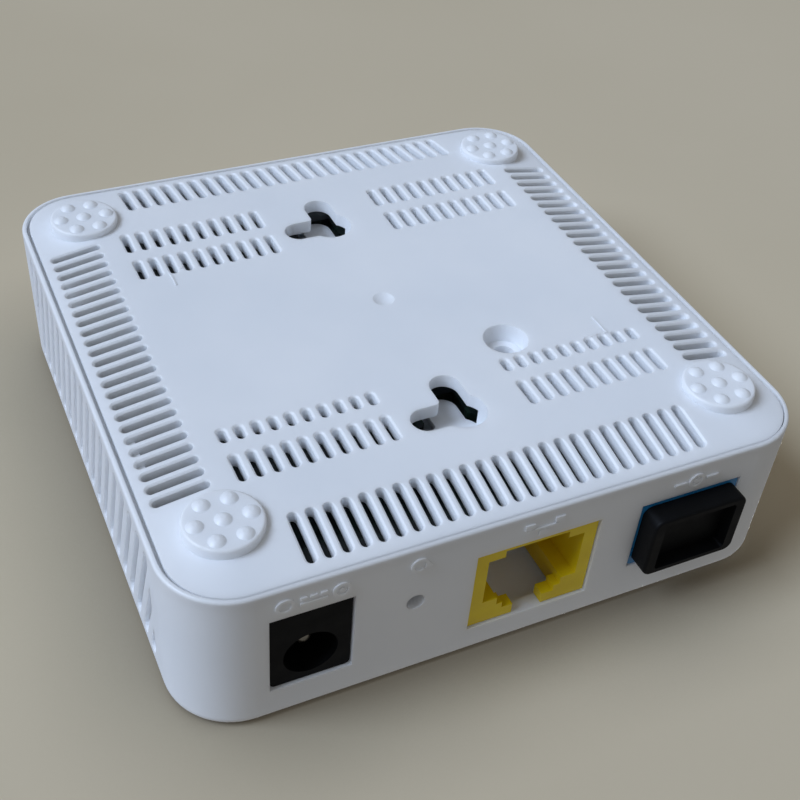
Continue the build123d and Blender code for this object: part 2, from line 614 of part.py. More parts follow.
with BuildPart() as dc_jack_spring:
    spring_z = DC_HOLE_Z - DC_HOLE_R
    tip = SOCKET_FACE_Y - SPRING_TIP
    with BuildSketch(Plane(origin=(DC_X + SPRING_W / 2, 0, 0), x_dir=(0, 1, 0), z_dir=(1, 0, 0))):
        with BuildLine():
            Polyline((tip - SPRING_LONG, spring_z - 0.55), (tip - 0.4 * SPRING_LONG, spring_z + 0.35),
                     (tip, spring_z - 0.45))
        trace(line_width=SPRING_THICK)
    extrude(amount=-SPRING_W)
save(dc_jack_spring.part, "dc_jack_spring")


# ================================================================ reset switch
# Small tact switch, its round plunger behind the pinhole in the rear wall.
SWITCH_W = 6.0
SWITCH_H = 6.2
SWITCH_FACE_Y = 33.6
SWITCH_DEEP = 3.6
PLUNGER_R = 1.5
PLUNGER_FIT = 0.05
PLUNGER_FRONT_Y = REAR_Y - WALL - 0.7
PLUNGER_IN = 1.6
with BuildPart() as reset_switch_body:
    block(about(RESET_X, SWITCH_W), (SWITCH_FACE_Y - SWITCH_DEEP, SWITCH_FACE_Y),
          (BOARD_TOP_Z, BOARD_TOP_Z + SWITCH_H))
    fillet(reset_switch_body.edges().filter_by(Axis.Y), 0.4)
    with BuildSketch(facing_rear(SWITCH_FACE_Y)):
        with Locations((-RESET_X, RESET_Z)):
            Circle(PLUNGER_R + PLUNGER_FIT)
    extrude(amount=-PLUNGER_IN - 0.5, mode=Mode.SUBTRACT)
save(reset_switch_body.part, "reset_switch_body")

with BuildPart() as reset_plunger:
    with BuildSketch(facing_rear(SWITCH_FACE_Y - PLUNGER_IN)):
        with Locations((-RESET_X, RESET_Z)):
            Circle(PLUNGER_R)
    extrude(amount=PLUNGER_FRONT_Y - SWITCH_FACE_Y + PLUNGER_IN)
    fillet(reset_plunger.faces().sort_by(Axis.Y)[-1].edges(), 0.3)
save(reset_plunger.part, "reset_plunger")


# ================================================================ fibre socket
# Blue square-connector adapter, its inner clips and sleeve, and the metal optical module behind it.
PORT_W = 9.2
PORT_H = 7.6
PORT_DEEP = 12.0
SLEEVE_R = 1.7
SLEEVE_LONG = 8.0
SLEEVE_BORE_R = 1.25
SLEEVE_BACK = 3.0       # how far the sleeve reaches behind the mouth
KEY_CUT_W = 2.4
KEY_CUT_H = 0.6
CLIP_GAP = 0.05
with BuildPart() as sc_adapter:
    block(about(PON_X, PON_W), (PON_FACE_Y - PON_DEEP, PON_FACE_Y), (BOARD_TOP_Z, BOARD_TOP_Z + PON_H))
    fillet(sc_adapter.edges().filter_by(Axis.Y), 0.5)
    block(about(PON_X, PORT_W), (PON_FACE_Y - PORT_DEEP, PON_FACE_Y + 1),
          about(PON_MID_Z, PORT_H), Mode.SUBTRACT)
    # key slot on the lid side of the mouth
    block(about(PON_X, KEY_CUT_W), (PON_FACE_Y - PORT_DEEP, PON_FACE_Y + 1),
          (PON_MID_Z, PON_MID_Z + PORT_H / 2 + KEY_CUT_H), Mode.SUBTRACT)
    # bore that the optical module seats in
    with BuildSketch(facing_rear(PON_FACE_Y - PORT_DEEP)):
        with Locations((-PON_X, PON_MID_Z)):
            Circle(SLEEVE_R + CLIP_GAP)
    extrude(amount=-PON_DEEP, mode=Mode.SUBTRACT)
save(sc_adapter.part, "sc_adapter")

# Cream inner clip set: a back flange with two springy hooks that hold a plug.
LATCH_PLAY = 0.2
LATCH_BACK = 1.2
ARM_THICK = 0.6
ARM_LONG = 4.2
ARM_TALL = 3.0
with BuildPart() as sc_latch:
    clip_back = PON_FACE_Y - PORT_DEEP + CLIP_GAP
    block(about(PON_X, PORT_W - LATCH_PLAY), (clip_back, clip_back + LATCH_BACK),
          about(PON_MID_Z, PORT_H - LATCH_PLAY))
    for side in (1, -1):
        arm_x = PON_X + side * (PORT_W / 2 - 0.75 * ARM_THICK)
        block(about(arm_x, ARM_THICK), (clip_back, clip_back + ARM_LONG), about(PON_MID_Z, ARM_TALL))
    with BuildSketch(facing_rear(clip_back)):
        with Locations((-PON_X, PON_MID_Z)):
            Circle(SLEEVE_R + CLIP_GAP)
    extrude(amount=2 * LATCH_BACK, mode=Mode.SUBTRACT)
save(sc_latch.part, "sc_latch")

# White ceramic sleeve that lines up the fibre ends.
with BuildPart() as ferrule_sleeve:
    with BuildSketch(facing_rear(PON_FACE_Y - PORT_DEEP - SLEEVE_BACK)):
        with Locations((-PON_X, PON_MID_Z)):
            Circle(SLEEVE_R)
            Circle(SLEEVE_BORE_R, mode=Mode.SUBTRACT)
    extrude(amount=SLEEVE_LONG)
save(ferrule_sleeve.part, "ferrule_sleeve")

# Metal module: a square body, the laser can behind it and the receiver can on its side.
MODULE_W = 7.5
MODULE_H = 7.0
MODULE_LONG = 9.0
LASER_R = 3.0
LASER_LONG = 3.5
RECEIVER_R = 2.6
RECEIVER_LONG = 3.2
module_y = PON_FACE_Y - PON_DEEP - CLIP_GAP
module_side = (PON_X + MODULE_W / 2, module_y - MODULE_LONG / 2, PON_MID_Z)
with BuildPart() as optical_module:
    block(about(PON_X, MODULE_W), (module_y - MODULE_LONG, module_y), about(PON_MID_Z, MODULE_H))
    chamfer(optical_module.edges().filter_by(Axis.Y), 0.6)
    with BuildSketch(facing_rear(module_y - MODULE_LONG)):
        with Locations((-PON_X, PON_MID_Z)):
            Circle(LASER_R)
    extrude(amount=-LASER_LONG)
    with BuildSketch(Plane(origin=module_side, x_dir=(0, 1, 0), z_dir=(1, 0, 0))):
        Circle(RECEIVER_R)
    extrude(amount=RECEIVER_LONG)
save(optical_module.part, "optical_module")

# Four gold leads out of the laser can.
LEAD_R = 0.22
LEAD_SPREAD = 0.9
LEAD_LONG = 3.0
with BuildPart() as optical_leads:
    with BuildSketch(facing_rear(module_y - MODULE_LONG - LASER_LONG)):
        with Locations((-PON_X, PON_MID_Z)):
            with GridLocations(2 * LEAD_SPREAD, 2 * LEAD_SPREAD, 2, 2):
                Circle(LEAD_R)
    extrude(amount=-LEAD_LONG)
save(optical_leads.part, "optical_leads")

# Black dust plug that closes the fibre socket.
PLUG_W = 12.8
PLUG_H = 9.1
PLUG_PROUD = 2.6
PLUG_CORNER_R = 1.2
PLUG_RIM = 0.85
PLUG_POCKET = 1.6
PLUG_POCKET_TRIM = 1.2  # the pocket is this much narrower than the rim alone would leave
PLUG_STEM_W = 8.9
PLUG_STEM_H = 7.3
PLUG_STEM_LONG = 6.4
PLUG_BORE_R = 2.1
PLUG_END_THICK = 0.3
with BuildPart() as dust_plug:
    plug_back = PON_FACE_Y + CLIP_GAP
    plug_front = REAR_Y + PLUG_PROUD
    with BuildSketch(facing_rear(plug_back)):
        with Locations((-PON_X, PON_MID_Z)):
            RectangleRounded(PLUG_W, PLUG_H, PLUG_CORNER_R)
    extrude(amount=plug_front - plug_back)
    fillet(dust_plug.faces().sort_by(Axis.Y)[-1].edges(), 0.35)
    # finger pocket in the outer face
    with BuildSketch(facing_rear(plug_front)):
        with Locations((-PON_X, PON_MID_Z)):
            RectangleRounded(PLUG_W - 2 * PLUG_RIM - PLUG_POCKET_TRIM, PLUG_H - 2 * PLUG_RIM, 0.5)
    extrude(amount=-PLUG_POCKET, taper=8, mode=Mode.SUBTRACT)
    # stem that fills the mouth, hollow to clear the sleeve
    with BuildSketch(facing_rear(plug_back)):
        with Locations((-PON_X, PON_MID_Z)):
            RectangleRounded(PLUG_STEM_W, PLUG_STEM_H, 0.4)
    extrude(amount=-PLUG_STEM_LONG)
    with BuildSketch(facing_rear(plug_back - PLUG_STEM_LONG)):
        with Locations((-PON_X, PON_MID_Z)):
            Circle(PLUG_BORE_R)
    extrude(amount=PLUG_STEM_LONG - PLUG_END_THICK, mode=Mode.SUBTRACT)
save(dust_plug.part, "dust_plug")


# ================================================================ indicator lights
# Four light chips on the board.
LED_LONG = 2.0
LED_WIDE = 1.25
LED_TALL = 0.8
with BuildPart() as led_chips:
    for x in LED_XS:
        block(about(x, LED_LONG), about(LED_Y, LED_WIDE), (BOARD_TOP_Z, BOARD_TOP_Z + LED_TALL))
save(led_chips.part, "led_chips")

# Clear light guides joined by one carrier bar, their ends flush with the lid.
CARRIER_WIDE = 1.6
CARRIER_TALL = 1.4
CARRIER_END = 2.0       # the bar reaches this far past the outer guides
CARRIER_TOP_Z = LID_INNER_Z - 0.1
with BuildPart() as light_guides:
    with BuildSketch(Plane.XY.offset(GUIDE_LOW_Z)):
        with Locations(*[(x, LED_Y) for x in LED_XS]):
            Circle(GUIDE_R)
    extrude(amount=HEIGHT - GUIDE_LOW_Z)
    block((LED_XS[0] - CARRIER_END, LED_XS[-1] + CARRIER_END), about(LED_Y, CARRIER_WIDE),
          (CARRIER_TOP_Z - CARRIER_TALL, CARRIER_TOP_Z))
save(light_guides.part, "light_guides")


# ================================================================ parts on the board
PIN_WIDE = 0.4
PIN_LONG = 1.4
PIN_TALL = 0.3


def chip(name, middle, size, thick, pin_count=0, pin_pitch=1.27):
    """Flat moulded package with a bevelled top and flat leads along its two long sides."""
    x, y = middle
    with BuildPart(mode=Mode.PRIVATE) as package:
        block(about(x, size[0]), about(y, size[1]), (BOARD_TOP_Z + 0.1, BOARD_TOP_Z + thick))
        chamfer(package.faces().sort_by(Axis.Z)[-1].edges(), 0.12)
        for side in (1, -1):
            for i in range(pin_count):
                pin_x = x + (i - (pin_count - 1) / 2) * pin_pitch
                block(about(pin_x, PIN_WIDE), about(y + side * size[1] / 2, PIN_LONG),
                      (BOARD_TOP_Z, BOARD_TOP_Z + PIN_TALL))
    save(package.part, name)


MAIN_X = -14.0
MAIN_Y = 1.5
MAIN_SIZE = 14.0
MAIN_TALL = 1.2
chip("main_chip", (MAIN_X, MAIN_Y), (MAIN_SIZE, MAIN_SIZE), MAIN_TALL)
chip("memory_chip", (-20.0, -16.0), (11.0, 8.0), 1.1, 6, 1.5)
chip("flash_chip", (-20.0, -26.0), (5.2, 5.2), 1.9, 4)
chip("power_chip", (-28.5, -3.0), (4.9, 3.9), 1.6, 4)
chip("laser_driver", (20.0, -8.0), (6.0, 6.0), 0.9)
chip("lan_transformer", (-0.5, 9.0), (12.5, 7.0), 4.0, 8, 1.27)

# Soft pad and finned aluminium heatsink on the main chip.
PAD_SIZE = 12.0
PAD_THICK = 0.5
PAD_Z = BOARD_TOP_Z + MAIN_TALL
with BuildPart() as thermal_pad:
    block(about(MAIN_X, PAD_SIZE), about(MAIN_Y, PAD_SIZE), (PAD_Z, PAD_Z + PAD_THICK))
save(thermal_pad.part, "thermal_pad")

SINK_SIZE = 14.0
SINK_FLOOR = 1.4
FIN_COUNT = 7
FIN_PITCH = 2.15
FIN_THICK = 0.8
FIN_TALL = 5.0
SINK_BASE_Z = PAD_Z + PAD_THICK
with BuildPart() as heatsink:
    block(about(MAIN_X, SINK_SIZE), about(MAIN_Y, SINK_SIZE), (SINK_BASE_Z, SINK_BASE_Z + SINK_FLOOR))
    with Locations((MAIN_X, MAIN_Y, SINK_BASE_Z + SINK_FLOOR)):
        with GridLocations(FIN_PITCH, 1, FIN_COUNT, 1):
            Box(FIN_THICK, SINK_SIZE, FIN_TALL, align=(Align.CENTER, Align.CENTER, Align.MIN))
save(heatsink.part, "heatsink")

with BuildPart() as crystal:
    block(about(11.0, 5.0), about(-4.0, 3.2), (BOARD_TOP_Z, BOARD_TOP_Z + 1.1))
    fillet(crystal.edges().filter_by(Axis.Z), 0.4)
save(crystal.part, "crystal")

# Three moulded ferrite inductors of the power supply.
COIL_SPOTS = ((-30.0, 11.0), (-30.0, 4.0), (-22.5, 14.0))
COIL_SIZE = 5.2
COIL_TALL = 3.0
with BuildPart() as power_inductors:
    with BuildSketch(Plane.XY.offset(BOARD_TOP_Z)):
        with Locations(*COIL_SPOTS):
            RectangleRounded(COIL_SIZE, COIL_SIZE, 0.8)
    extrude(amount=COIL_TALL)
save(power_inductors.part, "power_inductors")

# Two electrolytic cans.
CAP_SPOTS = ((-13.5, 23.5), (-30.5, 19.5))
CAP_R = 2.6
CAP_H = 7.5
with BuildPart() as electrolytic_caps:
    with BuildSketch(Plane.XY.offset(BOARD_TOP_Z)):
        with Locations(*CAP_SPOTS):
            Circle(CAP_R)
    extrude(amount=CAP_H)
    fillet(electrolytic_caps.faces().filter_by(Axis.Z).sort_by(Axis.Z)[-2:].edges(), 0.5)
save(electrolytic_caps.part, "electrolytic_caps")

# Small ceramic capacitors: a column on each side of the main chip and a row by the laser driver.
CERAMIC_LONG = 1.6
CERAMIC_WIDE = 0.8
CERAMIC_PITCH = 2.8
CERAMIC_LEVELS = (BOARD_TOP_Z, BOARD_TOP_Z + CERAMIC_WIDE)
with BuildPart() as ceramic_caps:
    for x, count in ((-23.0, 5), (-5.0, 3)):
        for i in range(count):
            column_y = MAIN_Y + (i - 2) * CERAMIC_PITCH
            block(about(x, CERAMIC_WIDE), about(column_y, CERAMIC_LONG), CERAMIC_LEVELS)
    for i in range(4):
        block(about(14.0 + i * CERAMIC_PITCH, CERAMIC_LONG), about(-14.0, CERAMIC_WIDE), CERAMIC_LEVELS)
save(ceramic_caps.part, "ceramic_caps")
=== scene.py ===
# %% [markdown]
# # An optical network terminal, finished and lit
# This lesson starts from a finished CAD model: the case, its sockets and the board inside are already
# in place, in metres. Our job is to give every piece the finish of the real thing, then to set up a
# floor, a camera and soft lights. The case lies on its lid, so the camera looks at it from below.

# %% Load the frame
import json
import math
import bpy
from mathutils import Matrix, Vector


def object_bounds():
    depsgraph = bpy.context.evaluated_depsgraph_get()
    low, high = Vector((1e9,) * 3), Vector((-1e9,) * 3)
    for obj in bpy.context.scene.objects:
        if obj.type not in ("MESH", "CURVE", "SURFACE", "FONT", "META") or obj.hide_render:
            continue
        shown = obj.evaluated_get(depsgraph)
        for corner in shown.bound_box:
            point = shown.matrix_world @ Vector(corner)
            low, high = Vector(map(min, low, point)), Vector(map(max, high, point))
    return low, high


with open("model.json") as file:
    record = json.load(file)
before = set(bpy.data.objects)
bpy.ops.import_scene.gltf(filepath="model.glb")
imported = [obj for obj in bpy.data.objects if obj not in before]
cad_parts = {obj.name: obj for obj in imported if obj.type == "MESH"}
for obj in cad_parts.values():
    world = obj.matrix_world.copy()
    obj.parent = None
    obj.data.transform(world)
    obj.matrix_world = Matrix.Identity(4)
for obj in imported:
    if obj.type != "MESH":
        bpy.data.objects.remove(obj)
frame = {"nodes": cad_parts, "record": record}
cad_low, cad_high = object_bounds()
nodes = frame["nodes"]
print("CAD nodes:", len(nodes), "size in mm:", [round(1000 * s, 1) for s in (cad_high - cad_low)])

# %% [markdown]
# ## Units and colours
# Real makers talk in millimetres and screen colours. Blender works in metres and in linear light, so
# two small helpers turn one into the other. Doing it in one place keeps every finish comparable.

# %% Helpers for units and colours
MM = 0.001


def linear(hex_code):
    """An sRGB hex code such as 'F2D21B' as linear red, green, blue and alpha."""
    parts = [int(hex_code[i:i + 2], 16) / 255 for i in (0, 2, 4)]
    return tuple(c / 12.92 if c <= 0.04045 else ((c + 0.055) / 1.055) ** 2.4 for c in parts) + (1.0,)


def per_metre(size_mm):
    """Texture scale that repeats about once in size_mm when the coordinates are in metres."""
    return 1.0 / (size_mm * MM)


CASE_WHITE = "F1F3F6"
CASE_WHITE_DEEP = "EAEDF1"
print("white of the case in linear light:", [round(c, 3) for c in linear(CASE_WHITE)])

# %% [markdown]
# ## One helper for every node
# A finish is a little network. A single function adds a node, sets what we name and joins its inputs,
# so each finish reads as a short recipe instead of a page of links.

# %% The node helper
def add_node(tree, kind, settings=None, **inputs):
    """Add a node, set its own settings, then fill or link the inputs named by words."""
    made = tree.nodes.new(kind)
    for key, value in (settings or {}).items():
        setattr(made, key, value)
    for key, value in inputs.items():
        wanted = key.replace("_", " ").lower()
        socket = next(s for s in made.inputs if s.name.lower() == wanted and s.enabled)
        if isinstance(value, bpy.types.NodeSocket):
            tree.links.new(value, socket)
        else:
            socket.default_value = value
    return made


def new_finish(name):
    """A material with an empty tree, and its tree, coordinates and surface shader."""
    finish = bpy.data.materials.new(name)
    finish.use_nodes = True
    tree = finish.node_tree
    tree.nodes.clear()
    place = add_node(tree, "ShaderNodeTexCoord").outputs["Object"]
    surface = add_node(tree, "ShaderNodeBsdfPrincipled")
    output = add_node(tree, "ShaderNodeOutputMaterial")
    tree.links.new(surface.outputs[0], output.inputs["Surface"])
    return finish, tree, place, surface


def mottled_colour(tree, place, size_mm, light, dark):
    """Colour that drifts between two close shades over the given distance."""
    drift = add_node(tree, "ShaderNodeTexNoise", vector=place, scale=per_metre(size_mm), detail=3.0)
    ramp = add_node(tree, "ShaderNodeValToRGB", fac=drift.outputs["Fac"])
    ramp.color_ramp.elements[0].position = 0.3
    ramp.color_ramp.elements[0].color = linear(dark)
    ramp.color_ramp.elements[1].position = 0.7
    ramp.color_ramp.elements[1].color = linear(light)
    return ramp.outputs["Color"]


def uneven_roughness(tree, place, size_mm, low, high):
    """Roughness that wanders between two values, as handling and tool polish leave it."""
    drift = add_node(tree, "ShaderNodeTexNoise", vector=place, scale=per_metre(size_mm), detail=2.0)
    spread = add_node(tree, "ShaderNodeMapRange", value=drift.outputs["Fac"], from_min=0.3, from_max=0.7,
                      to_min=low, to_max=high)
    return spread.outputs["Result"]


def grain_bump(tree, place, size_mm, depth_mm, strength=0.6):
    """Fine bump from noise: the grain a spark-eroded or blasted mould leaves on plastic."""
    grain = add_node(tree, "ShaderNodeTexNoise", vector=place, scale=per_metre(size_mm), detail=2.0)
    bump = add_node(tree, "ShaderNodeBump", strength=strength, distance=depth_mm * MM,
                    height=grain.outputs["Fac"])
    return bump.outputs["Normal"]


FINISHES = {}
print("helpers ready, finishes so far:", len(FINISHES))


# %% [markdown]
# ## White ABS, moulded
# The lid, walls and base plate are acrylonitrile butadiene styrene, injected into a steel mould whose
# skin was spark eroded. That leaves a grain of about 0.1 mm: the eye sees a soft satin white with no
# sharp reflections. A picture of plastic could be used, but a procedure stays crisp at any size.
# The grain is drawn at 0.35 mm, coarser than real, because the real one is too fine to show.

# %% White case plastic
SOAK_MM = 1.3


def white_abs():
    finish, tree, place, surface = new_finish("White moulded ABS")
    colour = mottled_colour(tree, place, 18.0, CASE_WHITE, CASE_WHITE_DEEP)
    tree.links.new(colour, surface.inputs["Base Color"])
    tree.links.new(uneven_roughness(tree, place, 6.0, 0.40, 0.50), surface.inputs["Roughness"])
    tree.links.new(grain_bump(tree, place, 0.35, 0.012, 0.5), surface.inputs["Normal"])
    surface.inputs["IOR"].default_value = 1.53
    # light soaks about a millimetre into white ABS, which brightens the slots and softens edges
    surface.inputs["Subsurface Weight"].default_value = 0.7
    surface.inputs["Subsurface Radius"].default_value = (1.0, 1.0, 1.0)
    surface.inputs["Subsurface Scale"].default_value = SOAK_MM * MM
    return finish


FINISHES["white_plastic"] = white_abs()
print("made", FINISHES["white_plastic"].name)


# %% [markdown]
# ## Coloured and black plastics
# The network socket is yellow nylon: slightly waxy, so it has a broad highlight. The fibre adapter is
# blue polycarbonate blend with a polished tool, so it is glossier. The power jack is black
# glass-filled polyester, and the dust plug is soft black polyethylene. Both are matt and swallow
# light, so their gloss is turned down. The inner clips are cream polyester and the reset plunger is
# pale acetal. All six are one recipe with other numbers.

# %% Other moulded plastics
MATT_BLACK_GLOSS = 0.2


def moulded(name, light, dark, rough, ior, grain_mm, depth_mm, gloss=0.5):
    finish, tree, place, surface = new_finish(name)
    tree.links.new(mottled_colour(tree, place, 4.0, light, dark), surface.inputs["Base Color"])
    roughness = uneven_roughness(tree, place, 2.0, rough - 0.05, rough + 0.07)
    tree.links.new(roughness, surface.inputs["Roughness"])
    tree.links.new(grain_bump(tree, place, grain_mm, depth_mm), surface.inputs["Normal"])
    surface.inputs["IOR"].default_value = ior
    surface.inputs["Specular IOR Level"].default_value = gloss
    return finish


# name, lighter and darker shade, roughness, IOR, grain size and depth in mm, gloss
FINISHES.update({
    "yellow_nylon": moulded("Yellow moulded nylon", "F4DA1E", "E9CC12", 0.36, 1.53, 0.35, 0.01),
    "blue_plastic": moulded("Blue moulded polycarbonate", "2C8CCB", "1F78B8", 0.3, 1.58, 0.4, 0.008),
    "black_plastic": moulded("Black moulded polyester", "070809", "040505", 0.6, 1.4, 0.3, 0.012,
                             MATT_BLACK_GLOSS),
    "plug_plastic": moulded("Black moulded polyethylene", "08090C", "050607", 0.55, 1.4, 0.28, 0.014,
                            MATT_BLACK_GLOSS),
    "cream_plastic": moulded("Cream moulded polyester", "D8D2BF", "CBC4AF", 0.4, 1.55, 0.3, 0.01),
    "plunger_plastic": moulded("Pale moulded acetal", "D9DADB", "CBCDCF", 0.4, 1.48, 0.3, 0.01),
})
print("with the coloured and black plastics:", len(FINISHES), "finishes")

# %% [markdown]
# ## Inside the case
# Chips are moulded epoxy, the pad under the heatsink is silicone, the inductors are pressed ferrite,
# the small capacitors are fired ceramic and the fibre sleeve is ground zirconia. All have a fine even
# grain and no clear coat, so the same recipe serves. Little of them shows past the vents.

# %% Fillers, ceramics and epoxy
FINISHES.update({
    "chip_epoxy": moulded("Moulded chip epoxy", "24262A", "1A1B1F", 0.5, 1.55, 0.25, 0.012),
    "pad_silicone": moulded("Soft silicone pad", "8B94A0", "7C8592", 0.7, 1.41, 0.5, 0.02),
    "ferrite": moulded("Pressed ferrite", "3A3B3E", "2C2D30", 0.62, 1.6, 0.3, 0.02),
    "ceramic_body": moulded("Fired ceramic", "B39A78", "9C8464", 0.45, 1.6, 0.2, 0.01),
    "zirconia": moulded("Ground zirconia", "F1F0EA", "E6E4DC", 0.2, 2.1, 0.3, 0.004),
})
print("with the parts on the board:", len(FINISHES), "finishes")


# %% [markdown]
# ## Metals
# Screws are zinc-plated steel, the jack's pin and spring are nickel over brass, the contact wires wear
# a gold flash, and the cans are drawn steel. Fine lines along one way tell the eye that a metal was
# drawn or turned. A stretched noise gives those lines; a metal keeps the shader's usual IOR.

# %% Metals
def drawn_metal(name, light, dark, rough, line_mm, stretch):
    finish, tree, place, surface = new_finish(name)
    along = add_node(tree, "ShaderNodeMapping", vector=place, scale=stretch)
    lines = add_node(tree, "ShaderNodeTexNoise", vector=along.outputs["Vector"], scale=per_metre(line_mm),
                     detail=4.0)
    tree.links.new(mottled_colour(tree, place, 1.5, light, dark), surface.inputs["Base Color"])
    spread = add_node(tree, "ShaderNodeMapRange", value=lines.outputs["Fac"], from_min=0.3, from_max=0.7,
                      to_min=rough - 0.06, to_max=rough + 0.08)
    tree.links.new(spread.outputs["Result"], surface.inputs["Roughness"])
    bump = add_node(tree, "ShaderNodeBump", strength=0.3, distance=0.004 * MM, height=lines.outputs["Fac"])
    tree.links.new(bump.outputs["Normal"], surface.inputs["Normal"])
    surface.inputs["Metallic"].default_value = 1.0
    return finish


# name, lighter and darker shade, roughness, line size in mm, stretch of the lines along X, Y and Z
FINISHES.update({
    "zinc_steel": drawn_metal("Zinc-plated steel", "B9BCC0", "9FA3A8", 0.34, 0.5, (1, 1, 4)),
    "gold_contact": drawn_metal("Gold-flashed spring wire", "E6C27A", "CFA65C", 0.22, 0.3, (4, 1, 4)),
    "nickel_brass": drawn_metal("Nickel-plated brass", "A8A49A", "8E897E", 0.3, 0.4, (4, 1, 4)),
    "can_metal": drawn_metal("Drawn steel can", "BFC1C4", "A8ABAF", 0.28, 0.5, (1, 1, 5)),
    "sink_aluminium": drawn_metal("Extruded aluminium", "C9CACC", "B3B5B8", 0.36, 0.5, (5, 1, 1)),
})
print("with the metals:", len(FINISHES), "finishes")


# %% [markdown]
# ## Circuit board
# Glass-epoxy laminate under a green solder mask. Copper tracks show through the mask as slightly
# lighter, raised lines. Real tracks are far finer than can show through a vent, so a net of cell
# edges about 2.4 mm apart stands for them and gives the board its busy feel there.

# %% Solder mask over copper
COPPER_MM = 0.035
TRACK_MM = 2.4


def solder_mask():
    finish, tree, place, surface = new_finish("Green solder mask on glass epoxy")
    wander = add_node(tree, "ShaderNodeTexVoronoi", {"feature": "DISTANCE_TO_EDGE"}, vector=place,
                      scale=per_metre(TRACK_MM))
    tracks = add_node(tree, "ShaderNodeMapRange", value=wander.outputs["Distance"], from_min=0.04,
                      from_max=0.09, to_min=1.0, to_max=0.0)
    blend = add_node(tree, "ShaderNodeMix", {"data_type": "RGBA"})
    tree.links.new(tracks.outputs["Result"], blend.inputs[0])
    blend.inputs[6].default_value = linear("09140F")
    blend.inputs[7].default_value = linear("12261C")
    tree.links.new(blend.outputs[2], surface.inputs["Base Color"])
    bump = add_node(tree, "ShaderNodeBump", strength=0.5, distance=COPPER_MM * MM,
                    height=tracks.outputs["Result"])
    tree.links.new(bump.outputs["Normal"], surface.inputs["Normal"])
    tree.links.new(uneven_roughness(tree, place, 3.0, 0.28, 0.38), surface.inputs["Roughness"])
    surface.inputs["IOR"].default_value = 1.55
    return finish


FINISHES["board_laminate"] = solder_mask()
print("made", FINISHES["board_laminate"].name)


# %% [markdown]
# ## Clear light guides
# Four rods of clear polycarbonate carry the lights to the lid. Their ends look like small frosted
# windows. Most of the light passes, so the shader transmits, with a rough skin to blur what is inside.

# %% Clear polycarbonate
def clear_guide():
    finish, tree, place, surface = new_finish("Clear moulded polycarbonate")
    tree.links.new(mottled_colour(tree, place, 1.2, "EEF4F2", "E2EBE9"), surface.inputs["Base Color"])
    tree.links.new(uneven_roughness(tree, place, 0.8, 0.25, 0.38), surface.inputs["Roughness"])
    tree.links.new(grain_bump(tree, place, 0.3, 0.01), surface.inputs["Normal"])
    surface.inputs["Transmission Weight"].default_value = 0.6
    surface.inputs["IOR"].default_value = 1.58
    return finish


FINISHES["clear_plastic"] = clear_guide()
print("made", FINISHES["clear_plastic"].name)


# %% [markdown]
# ## Hand out the finishes
# Each CAD node names a material slot in the record. We keep the nodes' shapes and only give each slot
# its finish, so a repaint later needs one change. Every node's faces share one finish.

# %% Assign finishes
slot_of = {part["node"]: part["material_slot"] for part in frame["record"]["subparts"]}
for name, piece in nodes.items():
    finish = FINISHES[slot_of[name]]
    piece.data.materials.clear()
    piece.data.materials.append(finish)
print("finished nodes:", len(nodes), "with", len(FINISHES), "finishes")

# %% [markdown]
# ## Two floors
# The case lies on its lid for the main view, and stands on its feet for a view from above. A real
# table has one top, so there are two sheets: one just past the lid, seen only from below, and one
# under the feet, seen only from above. Each is clear from its back, and neither casts a shadow nor
# throws light, so the hidden one never changes the picture. The rim of the one under the feet bends
# up like a paper sweep in a studio, so that no hard horizon shows behind the case.

# %% Pale floor finish
CONTACT_REACH = 18 * MM


def floor_finish():
    """Pale warm sheet with a faint, wide mottle and a painted contact shade that darkens its colour near
    the case; clear when seen from its back.
    """
    finish, tree, place, surface = new_finish("Pale matt floor")
    # painted shade: the sheets let the lights through, so the shade under the case is painted into the
    # floor's colour from how closed in it is
    shade = add_node(tree, "ShaderNodeAmbientOcclusion", {"samples": 16}, distance=CONTACT_REACH,
                     color=mottled_colour(tree, place, 90.0, "CBBDA3", "C6B89D"))
    tree.links.new(shade.outputs["Color"], surface.inputs["Base Color"])
    tree.links.new(grain_bump(tree, place, 1.6, 0.05, 0.25), surface.inputs["Normal"])
    surface.inputs["Roughness"].default_value = 0.75
    clear = add_node(tree, "ShaderNodeBsdfTransparent")
    side = add_node(tree, "ShaderNodeNewGeometry")
    choose = add_node(tree, "ShaderNodeMixShader")
    tree.links.new(side.outputs["Backfacing"], choose.inputs[0])
    tree.links.new(surface.outputs[0], choose.inputs[1])
    tree.links.new(clear.outputs[0], choose.inputs[2])
    output = next(n for n in tree.nodes if n.type == "OUTPUT_MATERIAL")
    tree.links.new(choose.outputs[0], output.inputs["Surface"])
    return finish


pale_floor = floor_finish()
print("floor finish:", len(pale_floor.node_tree.nodes), "nodes")

# %% Floor sheets
SWEEP_FLAT = 1.0
SWEEP_BEND = 2.0
SWEEP_STEPS = 16
TURNS = 64
FLOOR_GAP = 0.05 * MM


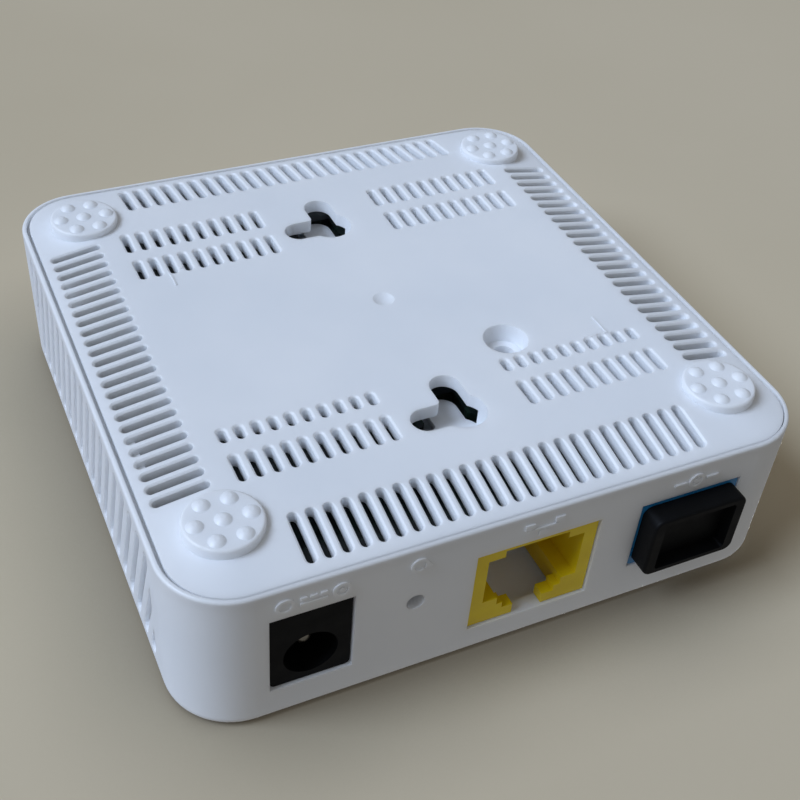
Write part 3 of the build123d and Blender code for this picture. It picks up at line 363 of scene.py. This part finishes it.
def make_floor(name, height, facing, flat_reach, steps=0):
    """A round sheet, seen from above (facing 1) or below (-1); the steps bend its rim up to a wall."""
    rings = [(flat_reach, 0.0)]
    for step in range(1, steps + 1):
        bend = math.radians(90 * step / steps)
        rings.append((flat_reach + SWEEP_BEND * math.sin(bend), SWEEP_BEND * (1 - math.cos(bend))))
    points = [(0.0, 0.0, height)]
    for reach, rise in rings:
        for i in range(TURNS):
            angle = 2 * math.pi * i / TURNS
            points.append((reach * math.cos(angle), reach * math.sin(angle), height + rise))
    faces = []
    for i in range(TURNS):
        j = (i + 1) % TURNS
        faces.append((0, 1 + i, 1 + j)[::facing])
        for ring in range(steps):
            inner = 1 + ring * TURNS
            outer = inner + TURNS
            faces.append((inner + i, outer + i, outer + j, inner + j)[::facing])
    mesh = bpy.data.meshes.new(name)
    mesh.from_pydata(points, [], faces)
    mesh.polygons.foreach_set("use_smooth", [True] * len(faces))
    mesh.materials.append(pale_floor)
    sheet = bpy.data.objects.new(name, mesh)
    bpy.context.collection.objects.link(sheet)
    for ray in ("visible_shadow", "visible_diffuse", "visible_glossy", "visible_transmission"):
        setattr(sheet, ray, False)
    return sheet


make_floor("floor_under_feet", cad_low.z - FLOOR_GAP, 1, SWEEP_FLAT, SWEEP_STEPS)
make_floor("floor_past_lid", cad_high.z + FLOOR_GAP, -1, SWEEP_FLAT + SWEEP_BEND)
print("floors at", round(1000 * cad_low.z, 2), "and", round(1000 * cad_high.z, 2), "mm")

# %% [markdown]
# ## Camera
# A product shot of the underside is taken from above one corner with the case turned over. We keep
# the case upright in its own frame and put the camera below it instead, rolled so that the floor past
# the lid reads as the table. A place and two directions fix it: where it looks, and its right side.

# %% Camera below the case
LENS_MM = 54.11
SENSOR_MM = 36.0
CLIP_NEAR = 1 * MM
CLIP_FAR = 50.0
CAMERA_AT = Vector((-54.92, 110.91, -90.5)) * MM
LOOK = Vector((0.3516, -0.6650, 0.6589)).normalized()
PICTURE_RIGHT = Vector((0.9075, 0.4148, -0.0657)).normalized()

picture_up = PICTURE_RIGHT.cross(LOOK).normalized()
camera_data = bpy.data.cameras.new("camera")
camera_data.lens = LENS_MM
camera_data.sensor_width = SENSOR_MM
camera_data.clip_start = CLIP_NEAR
camera_data.clip_end = CLIP_FAR
camera = bpy.data.objects.new("camera", camera_data)
bpy.context.collection.objects.link(camera)
turn = Matrix((PICTURE_RIGHT, picture_up, -LOOK)).transposed()
camera.matrix_world = Matrix.Translation(CAMERA_AT) @ turn.to_4x4()
bpy.context.scene.camera = camera
print("camera", round(CAMERA_AT.length * 1000), "mm from the origin")

# %% [markdown]
# ## Light
# A window to one side gives a cool, soft main light on the underside and the nearer side wall, and
# leaves the rear panel in gentle shade. Large suns with a wide angle act like a window: they are
# simple, even over the whole case and have soft edges. A second one, above the front right corner,
# serves the views from above, and a pale world fills the shadows.

# %% Window, overhead light and fill
def soft_sun(name, travels, strength, colour, width_deg):
    """A sun that shines along a direction, with a wide disc for soft shadow edges."""
    data = bpy.data.lights.new(name, "SUN")
    data.energy = strength
    data.color = linear(colour)[:3]
    data.angle = math.radians(width_deg)
    lamp = bpy.data.objects.new(name, data)
    lamp.rotation_mode = "QUATERNION"
    lamp.rotation_quaternion = Vector(travels).normalized().to_track_quat("-Z", "Y")
    bpy.context.collection.objects.link(lamp)
    return lamp


ROOM_COLOUR = "E2E0DC"
ROOM_STRENGTH = 0.29
soft_sun("window_below", (0.95, 0.10, 1.0), 2.8, "D2E4FF", 30)
soft_sun("studio_above", (-0.5, 0.6, -0.7), 2.4, "FFFFFF", 30)

world = bpy.data.worlds.new("pale room")
world.use_nodes = True
background = world.node_tree.nodes["Background"]
background.inputs["Color"].default_value = linear(ROOM_COLOUR)
background.inputs["Strength"].default_value = ROOM_STRENGTH
bpy.context.scene.world = world
bpy.context.scene.view_settings.view_transform = "Standard"
